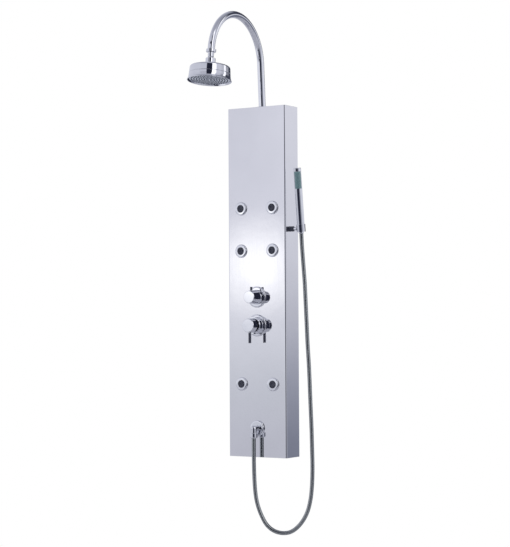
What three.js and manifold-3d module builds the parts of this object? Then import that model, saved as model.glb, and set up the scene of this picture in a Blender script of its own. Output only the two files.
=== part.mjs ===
// A wall-hung rainfall shower column: a folded steel panel with a gooseneck arm and rain head,
// six body jets, a diverter, a mixer, and a hand shower on a hose.
// Millimetres, +X right, +Y into the wall, +Z up.
// Origin: centre of the upper wall bracket's back face, so the wall is the plane Y = 0.

import * as THREE from 'three';
import { mergeVertices } from 'three/addons/utils/BufferGeometryUtils.js';
import Module from 'manifold-3d';

// ---------- driving dimensions ----------
const PANEL_WIDTH = 230;
const PANEL_DEPTH = 85;
const PANEL_HEIGHT = 1200;
const SHEET = 1.5;
const CORNER_RADIUS = 5;
const RETURN_LIP = 16;
const BOTTOM = -1080;                 // the panel's lower edge, below the origin
const GAP = 0.3;                      // left between pieces that touch

const UPPER_BRACKET = 1080;           // heights above the panel's lower edge
const LOWER_BRACKET = 150;
const JET_HEIGHTS = [852, 706, 249];
const JET_SPACING = 125;
const DIVERTER_HEIGHT = 547;
const MIXER_HEIGHT = 450;
const OUTLET_HEIGHT = 99;
const OUTLET_REACH = 26;              // hose axis in front of the panel
const HOLDER_HEIGHT = 778;
const HOLDER_SETBACK = 29;            // holder axis behind the panel's front
const HANDSET_X = 159;
const HANDSET_LEAN = 6.8;             // degrees, top towards the front
const INLET_SPACING = 150;

const ARM_RADIUS = 12;
const ARM_BORE = 10.5;
const ARM_BEND = 157;                 // centreline radius of the gooseneck
const ARM_BEND_HEIGHT = 1341.5;
const ARM_BEND_SETBACK = 124.5;       // bend centre in front of the panel's front
const ARM_LEAN = 3.5;                 // degrees, riser towards the front
const ARM_END_LEAN = 6.5;             // degrees, outlet towards the front
const ARM_START_HEIGHT = 1150;
const ARM_SETBACK = 41.4;             // the arm's axis behind the front, where it leaves the casing's top

const HOSE_RADIUS = 7;

const ROUND_SIDES = 16;                // facets round a small turned piece
const ROSE_SIDES = 20;                 // facets round an escutcheon or the hand shower
const HEAD_SIDES = 28;                 // facets round the rain head
const JET_SIDES = 14;

const FRONT = -PANEL_DEPTH;
const HALF_WIDTH = PANEL_WIDTH / 2;
const QUARTER = Math.PI / 2;
const atHeight = (h) => BOTTOM + h;
const radians = THREE.MathUtils.degToRad;

// ---------- materials ----------
const metal = (color, roughness) => new THREE.MeshStandardMaterial({ color, roughness, metalness: 1 });
const plastic = (color, roughness) => new THREE.MeshStandardMaterial({ color, roughness });
const PANEL_STEEL = metal(0xc9c9d2, 0.28);
const ZINC_STEEL = metal(0x9c9fa3, 0.5);
const CHROME = metal(0xd6d8dc, 0.08);
const BRASS = metal(0xb9944f, 0.4);
const COPPER = metal(0xb5714c, 0.35);
const HOSE_STEEL = metal(0x8f9296, 0.3);
const DARK_NOZZLE = plastic(0x2b2d31, 0.5);
const SEAT_PLASTIC = plastic(0xe8e6df, 0.5);
const SPRAY_FACE = metal(0x9da3ad, 0.3);
const WINDOW_TEAL = plastic(0x7fa3a3, 0.2);

// ---------- geometry helpers ----------
// A solid of revolution about +Z. profile lists [radius, z] points, in either direction.
function turned(profile, sides = ROUND_SIDES) {
  const points = profile.map(([r, z]) => new THREE.Vector2(r, z));
  const onAxis = profile[0][0] === 0 && profile.at(-1)[0] === 0;
  if (!onAxis) points.push(points[0].clone());
  if (THREE.ShapeUtils.area(points) < 0) points.reverse();
  return new THREE.LatheGeometry(points, sides).rotateX(QUARTER);
}

// Points of an arc in a turned profile, from one angle to another (degrees, 0 = outward, 90 = +Z).
function arc(centreR, centreZ, radius, from, to, steps = 6) {
  const points = [];
  for (let i = 0; i <= steps; i += 1) {
    const angle = radians(from + ((to - from) * i) / steps);
    points.push([centreR + radius * Math.cos(angle), centreZ + radius * Math.sin(angle)]);
  }
  return points;
}

function rod(radius, z0, z1, sides = ROUND_SIDES) {
  return turned([[0, z0], [radius, z0], [radius, z1], [0, z1]], sides);
}

const block = (x0, x1, y0, y1, z0, z1) => new THREE.BoxGeometry(x1 - x0, y1 - y0, z1 - z0)
  .translate((x0 + x1) / 2, (y0 + y1) / 2, (z0 + z1) / 2);

// A round tube, or a round bar when bore is 0, along a curve.
function tube(curve, radius, bore, steps, sides) {
  const section = new THREE.Shape().absarc(0, 0, radius, 0, 2 * Math.PI, false);
  if (bore > 0) section.holes.push(new THREE.Path().absarc(0, 0, bore, 0, 2 * Math.PI, true));
  return new THREE.ExtrudeGeometry(section, {
    extrudePath: curve, steps, bevelEnabled: false, curveSegments: sides / 2,
  });
}

// ---------- joining and cutting ----------
const wasm = await Module();
wasm.setup();

function toSolid(geometry) {
  const bare = geometry.clone();
  bare.deleteAttribute('normal');
  bare.deleteAttribute('uv');
  const merged = mergeVertices(bare, 1e-4);
  const index = merged.getIndex().array;
  const triangles = [];
  for (let i = 0; i < index.length; i += 3) {
    const [a, b, c] = [index[i], index[i + 1], index[i + 2]];
    if (a !== b && b !== c && c !== a) triangles.push(a, b, c);
  }
  return new wasm.Manifold(new wasm.Mesh({
    numProp: 3,
    vertProperties: new Float32Array(merged.getAttribute('position').array),
    triVerts: new Uint32Array(triangles),
  }));
}

function toGeometry(solid) {
  const mesh = solid.getMesh();
  const geometry = new THREE.BufferGeometry();
  geometry.setAttribute('position', new THREE.BufferAttribute(mesh.vertProperties, 3));
  geometry.setIndex(new THREE.BufferAttribute(mesh.triVerts, 1));
  return geometry;
}

const join = (...pieces) => toGeometry(pieces.map(toSolid).reduce((a, b) => a.add(b)));
const cut = (base, ...tools) => toGeometry(
  tools.map(toSolid).reduce((a, b) => a.subtract(b), toSolid(base)),
);
const overlap = (a, b) => toGeometry(toSolid(a).intersect(toSolid(b)));

// ---------- scene graph helpers ----------
const column = new THREE.Group();

function piece(parent, name, geometry, material) {
  const mesh = new THREE.Mesh(geometry, material);
  mesh.name = name;
  parent.add(mesh);
  return mesh;
}

// A frame on the panel's front: local +Z points out of the panel, local +Y points up.
function frontFrame(x, height) {
  const frame = new THREE.Group();
  frame.position.set(x, FRONT, atHeight(height));
  frame.rotation.x = QUARTER;
  column.add(frame);
  return frame;
}

// ---------- panel casing ----------
const JET_HOLE = 15;
const DIVERTER_HOLE = 15;
const MIXER_HOLE = 22;
const OUTLET_HOLE = 10.5;
const HOLDER_HOLE = 6;
const ARM_HOLE = 13.5;
const ARM_TOP_Y = FRONT + ARM_SETBACK;

const frontHole = (x, height, radius) => rod(radius, -4, 4).rotateX(QUARTER)
  .translate(x, FRONT, atHeight(height));

// Half of the tray's section, from the front centre round one corner to the rear lip.
function trayOutline(inset, lip) {
  const half = HALF_WIDTH - inset;
  const front = FRONT + inset;
  const radius = CORNER_RADIUS - inset;
  const back = -GAP - (lip ? inset : 0);
  const outline = [[0, front]];
  for (let i = 0; i <= 4; i += 1) {
    const angle = radians(-90 + (90 * i) / 4);
    outline.push([half - radius + radius * Math.cos(angle), front + radius + radius * Math.sin(angle)]);
  }
  outline.push([half, back]);
  if (lip) outline.push([HALF_WIDTH - RETURN_LIP, back]);
  return outline;
}

function mirrored(outline) {
  const left = outline.slice(1).reverse().map(([x, y]) => [-x, y]);
  return [...left, ...outline];
}

function prism(outline, z0, z1) {
  const shape = new THREE.Shape(outline.map(([x, y]) => new THREE.Vector2(x, y)));
  const depth = z1 - z0;
  return new THREE.ExtrudeGeometry(shape, { depth, bevelEnabled: false }).translate(0, 0, z0);
}

function casingGeometry() {
  const bottom = atHeight(0);
  const top = atHeight(PANEL_HEIGHT);
  const wall = [...mirrored(trayOutline(0, true)), ...mirrored(trayOutline(SHEET, true)).reverse()];
  const plate = mirrored(trayOutline(0, false));
  const jetX = JET_SPACING / 2;
  const holes = JET_HEIGHTS.flatMap((h) => [frontHole(-jetX, h, JET_HOLE), frontHole(jetX, h, JET_HOLE)]);
  holes.push(frontHole(0, DIVERTER_HEIGHT, DIVERTER_HOLE));
  holes.push(frontHole(0, MIXER_HEIGHT, MIXER_HOLE));
  holes.push(frontHole(0, OUTLET_HEIGHT, OUTLET_HOLE));
  holes.push(rod(ARM_HOLE, -4, 4).translate(0, ARM_TOP_Y, top));
  holes.push(rod(HOLDER_HOLE, -4, 4).rotateY(QUARTER)
    .translate(HALF_WIDTH, FRONT + HOLDER_SETBACK, atHeight(HOLDER_HEIGHT)));
  const foot = prism(plate, bottom, bottom + SHEET);
  const lid = prism(plate, top - SHEET, top);
  const tray = join(prism(wall, bottom, top), foot, lid);
  return cut(tray, ...holes);
}

piece(column, 'panel_casing', casingGeometry(), PANEL_STEEL);

// ---------- wall brackets, hanging rails and screws ----------
const BRACKET_HALF = 90;
const SCREW_X = 70;
const BRACKET_PLATE = 2;
const HOOK_OUT = 10;
const HOOK_TOP = 34;

// A section in the Y-Z plane, extruded along X.
function crossBar(outline, halfLength) {
  const shape = new THREE.Shape(outline.map(([y, z]) => new THREE.Vector2(y, z)));
  const bar = new THREE.ExtrudeGeometry(shape, { depth: 2 * halfLength, bevelEnabled: false });
  return bar.translate(0, 0, -halfLength).applyMatrix4(new THREE.Matrix4().makeBasis(
    new THREE.Vector3(0, 1, 0), new THREE.Vector3(0, 0, 1), new THREE.Vector3(1, 0, 0),
  ));
}

function wallBracket() {
  const hook = [[0, -20], [0, 24], [-HOOK_OUT + BRACKET_PLATE, 24], [-HOOK_OUT + BRACKET_PLATE, HOOK_TOP],
    [-HOOK_OUT, HOOK_TOP], [-HOOK_OUT, 22], [-BRACKET_PLATE, 22], [-BRACKET_PLATE, -20]];
  const holes = [-SCREW_X, SCREW_X].map((x) => rod(2.6, -6, 6, 12).rotateX(QUARTER).translate(x, 0, 0));
  return cut(crossBar(hook, BRACKET_HALF), ...holes);
}

// The rail welded across the casing, whose turned-down edge hangs over the bracket's hook.
function hangingRail() {
  const top = HOOK_TOP + GAP;
  const outline = [[-14, 0], [-14, top + SHEET], [-5.5, top + SHEET], [-5.5, top - 8], [-7, top - 8],
    [-7, top], [-12.5, top], [-12.5, 0]];
  return crossBar(outline, HALF_WIDTH - SHEET - GAP);
}

// Pan-headed screw, as far as the wall's surface.
function wallScrew() {
  const seat = BRACKET_PLATE + GAP;
  return turned([
    [0, GAP], [2.1, GAP], [2.1, seat], [4.5, seat], [4.2, seat + 2], [2.8, seat + 2.9], [0, seat + 3.2],
  ], 12);
}

const BRACKETS = { upper: UPPER_BRACKET, lower: LOWER_BRACKET };
for (const [name, height] of Object.entries(BRACKETS)) {
  const level = new THREE.Group();
  level.position.z = atHeight(height);
  column.add(level);
  piece(level, `${name}_wall_bracket`, wallBracket(), ZINC_STEEL);
  piece(level, `${name}_hanging_rail`, hangingRail(), ZINC_STEEL);
  for (const [side, x] of [['left', -SCREW_X], ['right', SCREW_X]]) {
    const screw = piece(level, `${name}_wall_screw_${side}`, wallScrew(), ZINC_STEEL);
    screw.position.x = x;
    screw.rotation.x = QUARTER;
  }
}

// ---------- gooseneck arm ----------
const BEND_Y = FRONT - ARM_BEND_SETBACK;
const BEND_Z = atHeight(ARM_BEND_HEIGHT);
const bendPoint = (angle) => new THREE.Vector3(
  0, BEND_Y + ARM_BEND * Math.cos(angle), BEND_Z + ARM_BEND * Math.sin(angle),
);

// A straight riser that runs into one long round bend.
class Gooseneck extends THREE.Curve {
  constructor() {
    super();
    this.first = radians(ARM_LEAN);
    this.last = Math.PI - radians(ARM_END_LEAN);
    this.bendStart = bendPoint(this.first);
    this.rise = (this.bendStart.z - atHeight(ARM_START_HEIGHT)) / Math.cos(this.first);
    this.bendLength = ARM_BEND * (this.last - this.first);
  }

  getPoint(t, target = new THREE.Vector3()) {
    const along = t * (this.rise + this.bendLength) - this.rise;
    if (along >= 0) return target.copy(bendPoint(this.first + along / ARM_BEND));
    const down = new THREE.Vector3(0, Math.sin(this.first), -Math.cos(this.first));
    return target.copy(this.bendStart).addScaledVector(down, -along);
  }
}

const gooseneck = new Gooseneck();
const armStart = gooseneck.getPoint(0);
const armEnd = gooseneck.getPoint(1);
piece(column, 'gooseneck_arm', tube(gooseneck, ARM_RADIUS, ARM_BORE, 32, 12), CHROME);

// The socket inside the casing that holds the arm's lower end, in line with the leaning riser.
const armFoot = new THREE.Group();
armFoot.position.copy(armStart);
armFoot.rotation.x = radians(ARM_LEAN);
column.add(armFoot);
const ARM_FIT = ARM_RADIUS + GAP;
piece(armFoot, 'arm_socket', turned([
  [6, -12], [17, -12], [17, 32], [ARM_FIT, 32], [ARM_FIT, -GAP], [6, -GAP],
]), BRASS);

const armCover = piece(column, 'arm_flange', turned([
  [13.4, GAP], [22, GAP], [22, 2], [19, 4.4], [13.4, 5],
]), CHROME);
armCover.position.set(0, ARM_TOP_Y, atHeight(PANEL_HEIGHT));

// ---------- rain head, hanging below the arm's end on a ball ----------
const BALL_DROP = 36;                 // ball centre below the arm's end
const BALL_RADIUS = 12;
const headFrame = new THREE.Group();
headFrame.position.copy(armEnd);
headFrame.rotation.x = -radians(ARM_END_LEAN);
column.add(headFrame);

piece(headFrame, 'arm_end_collar', turned([
  [ARM_FIT, 2], [16.5, 2], [16.5, -7], [6, -7], [6, -GAP], [ARM_FIT, -GAP],
]), CHROME);

// Neck and ball, bored through for the water.
piece(headFrame, 'ball_stem', turned([
  [4, -7 - GAP], [10, -7 - GAP], [10, -23], [7, -24.5],
  ...arc(0, -BALL_DROP, BALL_RADIUS, 54, -70, 7), [4, -47.2],
]), CHROME);

// Low-friction band round the ball's middle.
piece(headFrame, 'ball_seat', turned([
  ...arc(0, -BALL_DROP, BALL_RADIUS + 0.4, -18, 14, 3),
  ...arc(0, -BALL_DROP, BALL_RADIUS + 2.4, 14, -18, 3),
]), SEAT_PLASTIC);

piece(headFrame, 'swivel_nut', turned([
  [10.5, -28], [15.5, -28], [16.5, -29], [16.5, -43], [15.8, -44],
  ...arc(0, -BALL_DROP, BALL_RADIUS + 2.8, -32, 26, 6), [10.5, -29.4],
]), CHROME);

// Upper half of the head: a threaded neck, a low dome and a deep drum wall.
piece(headFrame, 'head_shell', turned([
  [9.3, -44.3], [13, -44.3], [13, -51], [58, -54.5], [64.5, -56.5], [67.2, -60], [68.8, -80.7],
  [66.8, -80.7], [65.2, -60.5], [57, -56.7], [5, -54], [5, -49.5], [9.3, -49.5],
], HEAD_SIDES), CHROME);

// Lower half: the same wall carried down into a flared lip.
piece(headFrame, 'head_lip_ring', turned([
  [68.9, -81], [69.9, -92], [71.4, -98.5], [74.2, -103.4], [73.6, -104.6], [72, -104.2],
  [69.6, -99.5], [68.3, -93], [66.9, -81],
], HEAD_SIDES), CHROME);

const sprayFace = [[0, -97], [67.6, -97], [67.6, -100], [0, -101.5]];
piece(headFrame, 'spray_plate', turned(sprayFace, HEAD_SIDES), SPRAY_FACE);

// ---------- body jets ----------
const JET_BALL = 12;
const JET_ROWS = { top: JET_HEIGHTS[0], middle: JET_HEIGHTS[1], bottom: JET_HEIGHTS[2] };
for (const [row, height] of Object.entries(JET_ROWS)) {
  for (const [side, sign] of [['left', -1], ['right', 1]]) {
    const jet = frontFrame((sign * JET_SPACING) / 2, height);
    piece(jet, `jet_flange_${row}_${side}`, turned([
      [JET_BALL + 0.4, -18], [14.6, -18], [14.6, GAP], [23, GAP], [23, 2.8], [22, 4.1], [20.5, 4.6],
      [18.8, 4.9], [13.4, 5], [JET_BALL + 0.4, 3.6],
    ], JET_SIDES), CHROME);
    piece(jet, `jet_nozzle_${row}_${side}`, turned([
      [3, 5], ...arc(0, 0, JET_BALL, 25, -25, 4), [3, -5.1],
    ], JET_SIDES), DARK_NOZZLE);
  }
}

// ---------- diverter ----------
const BODY_FRONT = -SHEET - GAP;
const diverter = frontFrame(0, DIVERTER_HEIGHT);
piece(diverter, 'diverter_escutcheon', turned([
  [14.8, GAP], [36, GAP], [36, 2.8], [35, 4], [33.4, 4.6], [31, 4.9], [18, 5], [18, 11], [17, 12],
  [14.8, 12],
], ROSE_SIDES), CHROME);
piece(diverter, 'diverter_valve_body', turned([
  [0, -56], [20, -56], [20, BODY_FRONT], [14.2, BODY_FRONT], [14.2, 9], [6.4, 9], [6.4, -30], [0, -30],
]), BRASS);
piece(diverter, 'diverter_spindle', rod(6, -29.7, 31.7), BRASS);
// A tapered grip whose skirt hides the escutcheon's collar.
piece(diverter, 'diverter_knob', turned([
  [6.3, 13.5], [20.5, 13.5], [20.5, 7], [25.5, 7], [21, 52.6], [19.8, 54], [0, 54], [0, 32], [6.3, 32],
], ROSE_SIDES), CHROME);
piece(diverter, 'diverter_pin', rod(4, 23.3, 34.5, 12).rotateX(-QUARTER).translate(0, 0, 37), DARK_NOZZLE);

// ---------- mixer ----------
const MIXER_BODY_RADIUS = 26;
const SUPPLY_DEPTH = -47;             // cross arms of the mixer body, behind the panel's front
const INLET_RADIUS = 11;
const mixer = frontFrame(0, MIXER_HEIGHT);
piece(mixer, 'mixer_escutcheon', turned([
  [21.8, GAP], [37.5, GAP], [37.5, 3.6], [36.4, 5], [34.8, 5.6], [32.5, 5.9], [21.8, 6],
], ROSE_SIDES), CHROME);
piece(mixer, 'mixer_sleeve', turned([
  [27.5, 6.3], [30.5, 6.3], [30.5, 30], [29.6, 31], [20, 31], [20, 29.5], [27.5, 29.5],
], ROSE_SIDES), CHROME);

function mixerBody() {
  const core = turned([
    [0, -60], [MIXER_BODY_RADIUS, -60], [MIXER_BODY_RADIUS, BODY_FRONT], [21.5, BODY_FRONT], [21.5, 20],
    [12, 20], [12, 5], [0, 5],
  ]);
  const reach = INLET_SPACING / 2 - INLET_RADIUS - GAP;
  const crossArms = rod(9, -reach, reach).rotateY(QUARTER).translate(0, 0, SUPPLY_DEPTH);
  return join(core, crossArms);
}
piece(mixer, 'mixer_valve_body', mixerBody(), BRASS);

// The part of the cartridge that turns with the handle; the handle's stem tips inside its ring.
piece(mixer, 'mixer_spindle', turned([
  [9.6, 20.3], [18, 20.3], [18, 26], [16.5, 27], [9.6, 27],
]), DARK_NOZZLE);
piece(mixer, 'mixer_handle', turned([
  [0, 18], [6, 18], [6, 33], [15.5, 33], [15.5, 38], [23, 38], [25, 39.8], [23, 60], [21.8, 61.5],
  [0, 61.5],
]), CHROME);
piece(mixer, 'mixer_lever_pin', rod(4.75, 25, 60, 12).rotateX(QUARTER).translate(0, 0, 48),
  DARK_NOZZLE);

// Hot and cold inlets, turned back towards the wall.
for (const [name, sign] of [['hot_inlet', -1], ['cold_inlet', 1]]) {
  const inlet = piece(column, name, turned([
    [0, -50], [INLET_RADIUS, -50], [INLET_RADIUS, -22], [15, -22], [15, -8], [7.5, -8], [7.5, -44], [0, -44],
  ]), BRASS);
  inlet.position.set((sign * INLET_SPACING) / 2, 0, atHeight(MIXER_HEIGHT));
  inlet.rotation.x = -QUARTER;
}

// ---------- water pipes inside the casing ----------
const PIPE_RADIUS = 6;
const PIPE_Y = FRONT + 25;
const upright = (x, y, h0, h1, radius) => rod(radius, atHeight(h0), atHeight(h1), 12).translate(x, y, 0);

piece(column, 'mixer_to_diverter_pipe',
  upright(0, PIPE_Y, MIXER_HEIGHT + MIXER_BODY_RADIUS + GAP, DIVERTER_HEIGHT - 20 - GAP, PIPE_RADIUS),
  COPPER);
piece(column, 'riser_pipe',
  upright(0, FRONT + 44, DIVERTER_HEIGHT + 20 + GAP, ARM_START_HEIGHT - 14, PIPE_RADIUS), COPPER);

for (const [side, sign] of [['left', -1], ['right', 1]]) {
  const x = (sign * JET_SPACING) / 2;
  const feed = upright(x, PIPE_Y, JET_HEIGHTS[2] - 12, JET_HEIGHTS[0] + 12, PIPE_RADIUS);
  const ends = [sign * (20 + GAP), x].sort((a, b) => a - b);
  const branch = rod(PIPE_RADIUS - 1, ends[0], ends[1], 12).rotateY(QUARTER)
    .translate(0, PIPE_Y, atHeight(DIVERTER_HEIGHT));
  piece(column, `jet_feed_pipe_${side}`, join(feed, branch), COPPER);
}

// From the diverter, round the mixer body and down to the hose outlet.
const outletRoute = new THREE.CatmullRomCurve3([
  [14.6, 532.4], [20, 527], [33, 508], [38, 480], [38, 420], [38, 300], [38, 190], [33, 165], [12, 138],
  [0, 124], [0, 112],
].map(([x, h]) => new THREE.Vector3(x, PIPE_Y, atHeight(h))));
piece(column, 'outlet_pipe', tube(outletRoute, 5, 0, 20, 8), COPPER);

// ---------- hose outlet ----------
const outlet = frontFrame(0, OUTLET_HEIGHT);
piece(outlet, 'outlet_flange', turned([
  [9.6, GAP], [27, GAP], [27, 3.6], [26, 4.9], [24.3, 5.6], [22, 5.9], [9.6, 6],
]), CHROME);

function outletElbow() {
  const tail = rod(9.2, -36, OUTLET_REACH);
  const bend = new THREE.SphereGeometry(10, 16, 12).translate(0, 0, OUTLET_REACH);
  const drop = rod(10, 0, 15).rotateX(QUARTER).translate(0, 0, OUTLET_REACH);
  const bore = rod(5, 1, 20, 12).rotateX(QUARTER).translate(0, 0, OUTLET_REACH);
  return cut(join(tail, bend, drop), bore);
}
piece(outlet, 'outlet_elbow', outletElbow(), CHROME);

const NUT_TOP = OUTLET_HEIGHT - 15 - GAP;
const NUT_BOTTOM = 66;
const hoseNut = piece(column, 'hose_outlet_nut', turned([
  [5, NUT_TOP], [12, NUT_TOP], [13, NUT_TOP - 1], [13, NUT_BOTTOM + 3], [9.5, NUT_BOTTOM], [5, NUT_BOTTOM],
]), CHROME);
hoseNut.position.set(0, FRONT - OUTLET_REACH, BOTTOM);

// ---------- hose ----------
// Route by hand: x, y, and height above the panel's lower edge.
const HOSE_LOOP = [
  [0, -111, 65.7], [0, -111, 40], [0, -111, 10], [0.2, -111, -20], [0.8, -110.8, -50], [1.8, -110.4, -80],
  [3.8, -109.8, -110], [7.8, -108.7, -140], [14.5, -106.5, -168], [25, -103, -196], [38.5, -98.5, -222],
  [52, -94, -237], [65, -89.3, -246], [78, -84.7, -251], [91, -80, -253.2], [104, -75.3, -252.8],
  [117, -70.6, -249.8], [130, -66, -242.5], [143, -61.2, -231], [156, -56.6, -215], [167, -52.6, -196],
  [176, -49.5, -174], [184.3, -46.3, -137], [188.7, -44.7, -96], [190.6, -44, -56], [191, -43.8, -15],
  [190.3, -44, 25], [188.6, -44.6, 106], [185.8, -45.6, 187], [181.5, -46.6, 309], [176.8, -47.2, 390],
  [173, -47, 471], [169, -46.6, 552], [167, -46.5, 593],
];
const HOSE_TOP = [
  [167, -46.5, 593.3], [164, -46.9, 634], [161.3, -48.8, 680], [159.7, -50.9, 716], [159.1, -52.6, 742],
  [159, -54.1, 761],
];
const alongRoute = (route) => new THREE.CatmullRomCurve3(
  route.map(([x, y, h]) => new THREE.Vector3(x, y, atHeight(h))), false, 'centripetal',
);
piece(column, 'hose_loop', tube(alongRoute(HOSE_LOOP), HOSE_RADIUS, 0, 56, 8), HOSE_STEEL);
piece(column, 'hose_top_end', tube(alongRoute(HOSE_TOP), HOSE_RADIUS, 0, 8, 8), HOSE_STEEL);

// ---------- holder and hand shower ----------
const HOLDER_Y = FRONT + HOLDER_SETBACK;
const CUP_RADIUS = 15.2;
const CUP_BORE = 13.4;
const CUP_BOTTOM = -11;
const CUP_TOP = 15;

// Ribbed collar that grips the holder's neck.
const stub = piece(column, 'holder_stub', turned([
  [5.4, GAP], [9, GAP], [9, 4.5], [8, 5.2], [8, 6.8], [9, 7.5], [9, 10.5], [8, 11.2], [8, 12.8], [9, 13.5],
  [9, 15], [8, 16], [5.4, 16],
]), DARK_NOZZLE);
stub.position.set(HALF_WIDTH, HOLDER_Y, atHeight(HOLDER_HEIGHT));
stub.rotation.y = QUARTER;

const handsetFrame = new THREE.Group();
handsetFrame.position.set(HANDSET_X, HOLDER_Y, atHeight(HOLDER_HEIGHT));
handsetFrame.rotation.x = radians(HANDSET_LEAN);
column.add(handsetFrame);

// Cup with a slot for the hose on its outer side, on a neck that turns in the stub.
function holderCup() {
  const outer = rod(CUP_RADIUS, CUP_BOTTOM, CUP_TOP, ROSE_SIDES);
  const neckStart = HALF_WIDTH + 3 - HANDSET_X;
  const neck = rod(5, neckStart, -CUP_BORE).rotateY(QUARTER);
  const bore = rod(CUP_BORE, CUP_BOTTOM - 2, CUP_TOP + 2, ROSE_SIDES);
  const slot = block(0, 30, -7.6, 7.6, CUP_BOTTOM - 2, CUP_TOP + 2);
  return cut(join(outer, neck), bore, slot);
}
piece(handsetFrame, 'holder_cup', holderCup(), CHROME);

const HANDSET_RADIUS = 13;
const HANDSET_BOTTOM = -10;
const HANDSET_TOP = 206;
const CAP_THICKNESS = 12;
const WINDOW_BOTTOM = 136;
const WINDOW_FLAT = -6;               // flat bed of the spray window, in front of the axis
const WINDOW_HALF = 11;
const WINDOW_TURN = 30;               // degrees, the window turned outward from the panel's front

function handsetBody() {
  const top = HANDSET_TOP - CAP_THICKNESS - GAP;
  const barrel = turned([
    [9, HANDSET_BOTTOM], [12.2, HANDSET_BOTTOM], [HANDSET_RADIUS, HANDSET_BOTTOM + 1.2],
    [HANDSET_RADIUS, top], [0, top], [0, top - 4], [4.5, top - 4], [4.5, WINDOW_BOTTOM - 2],
    [11, WINDOW_BOTTOM - 10], [11, 12], [9, 10],
  ], ROSE_SIDES);
  const bed = block(-WINDOW_HALF, WINDOW_HALF, -20, WINDOW_FLAT, WINDOW_BOTTOM, top + 2);
  return cut(barrel, bed.rotateZ(radians(WINDOW_TURN)));
}

function sprayWindow() {
  const slug = rod(HANDSET_RADIUS, WINDOW_BOTTOM + GAP, HANDSET_TOP - CAP_THICKNESS - GAP, ROSE_SIDES);
  const inset = WINDOW_HALF - GAP;
  const front = block(-inset, inset, -20, WINDOW_FLAT - GAP, WINDOW_BOTTOM, HANDSET_TOP);
  return overlap(slug, front.rotateZ(radians(WINDOW_TURN)));
}

piece(handsetFrame, 'handset_body', handsetBody(), CHROME);
piece(handsetFrame, 'handset_spray_window', sprayWindow(), WINDOW_TEAL);
piece(handsetFrame, 'handset_cap', turned([
  [0, HANDSET_TOP - CAP_THICKNESS], [HANDSET_RADIUS, HANDSET_TOP - CAP_THICKNESS],
  [HANDSET_RADIUS, HANDSET_TOP - 1.2], [12, HANDSET_TOP], [0, HANDSET_TOP],
], ROSE_SIDES), CHROME);
piece(handsetFrame, 'hose_handset_ferrule', turned([
  [5, -16.6], [8, -16.6], [8.6, -15], [8.6, 8], [5, 8],
]), CHROME);

export default column;
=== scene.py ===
import math

import bmesh
import bpy
from mathutils import Matrix, Vector


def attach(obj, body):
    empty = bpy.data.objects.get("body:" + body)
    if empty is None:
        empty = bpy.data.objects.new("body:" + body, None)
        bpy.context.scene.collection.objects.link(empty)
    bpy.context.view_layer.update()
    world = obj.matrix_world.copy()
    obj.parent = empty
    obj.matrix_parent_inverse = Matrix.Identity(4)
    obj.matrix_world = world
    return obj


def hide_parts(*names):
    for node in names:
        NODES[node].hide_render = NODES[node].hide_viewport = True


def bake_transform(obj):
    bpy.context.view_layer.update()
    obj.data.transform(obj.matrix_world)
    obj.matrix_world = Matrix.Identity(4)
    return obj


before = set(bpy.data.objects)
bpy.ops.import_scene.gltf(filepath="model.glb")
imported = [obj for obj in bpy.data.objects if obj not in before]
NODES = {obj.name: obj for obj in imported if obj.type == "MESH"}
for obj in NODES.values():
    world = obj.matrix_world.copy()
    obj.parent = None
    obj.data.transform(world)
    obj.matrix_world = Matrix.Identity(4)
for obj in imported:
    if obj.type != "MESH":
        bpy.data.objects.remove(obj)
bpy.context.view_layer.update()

MM = 0.001

# ---------- sizes taken from the CAD part ----------
# Millimetres and degrees. Heights are above the panel's lower edge.
BOTTOM = -1080
FRONT = -85
JET_HEIGHTS = {"top": 852, "middle": 706, "bottom": 249}
JET_X = 62.5
DIVERTER_HEIGHT = 547
MIXER_HEIGHT = 450
OUTLET_HEIGHT = 99
OUTLET_REACH = 26
HOLDER_HEIGHT = 778
HOLDER_SETBACK = 29
HANDSET_X = 159
HANDSET_LEAN = 6.8
PANEL_HEIGHT = 1200
HALF_WIDTH = 115
ARM_TOP_SETBACK = 41.4
ARM_RADIUS = 12
ARM_BEND = 157
ARM_BEND_Y = FRONT - 124.5
ARM_BEND_HEIGHT = 1341.5
ARM_LEAN = 3.5
ARM_END_LEAN = 6.5
ARM_START_HEIGHT = 1150
ARM_ROSE_HOLE = 13.5
SHEET = 1.5
CORNER_RADIUS = 5
BACK_OPENING_HALF = 99
JET_HOLE = 15
DIVERTER_HOLE = 15
MIXER_HOLE = 22
OUTLET_HOLE = 10.5
HOLDER_HOLE = 6
HEAD_PLATE_RADIUS = 67.6
HEAD_PLATE_MIDDLE = -101.5
HEAD_PLATE_RISE = 1.5
HANDSET_RADIUS = 13
HANDSET_TOP = 193.7
WINDOW_BOTTOM = 136
WINDOW_HALF = 11
WINDOW_FLAT = -6
WINDOW_TURN = 30


# ---------- camera ----------
# The place is in metres.
CAMERA_TURN = math.radians(31.6226)
CAMERA_RISE = math.radians(1.5083)
CAMERA_ROLL = math.radians(-0.3058)
CAMERA_PLACE = (3.0022, -4.9729, -0.6032)
CAMERA_LENS = 110.19


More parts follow.
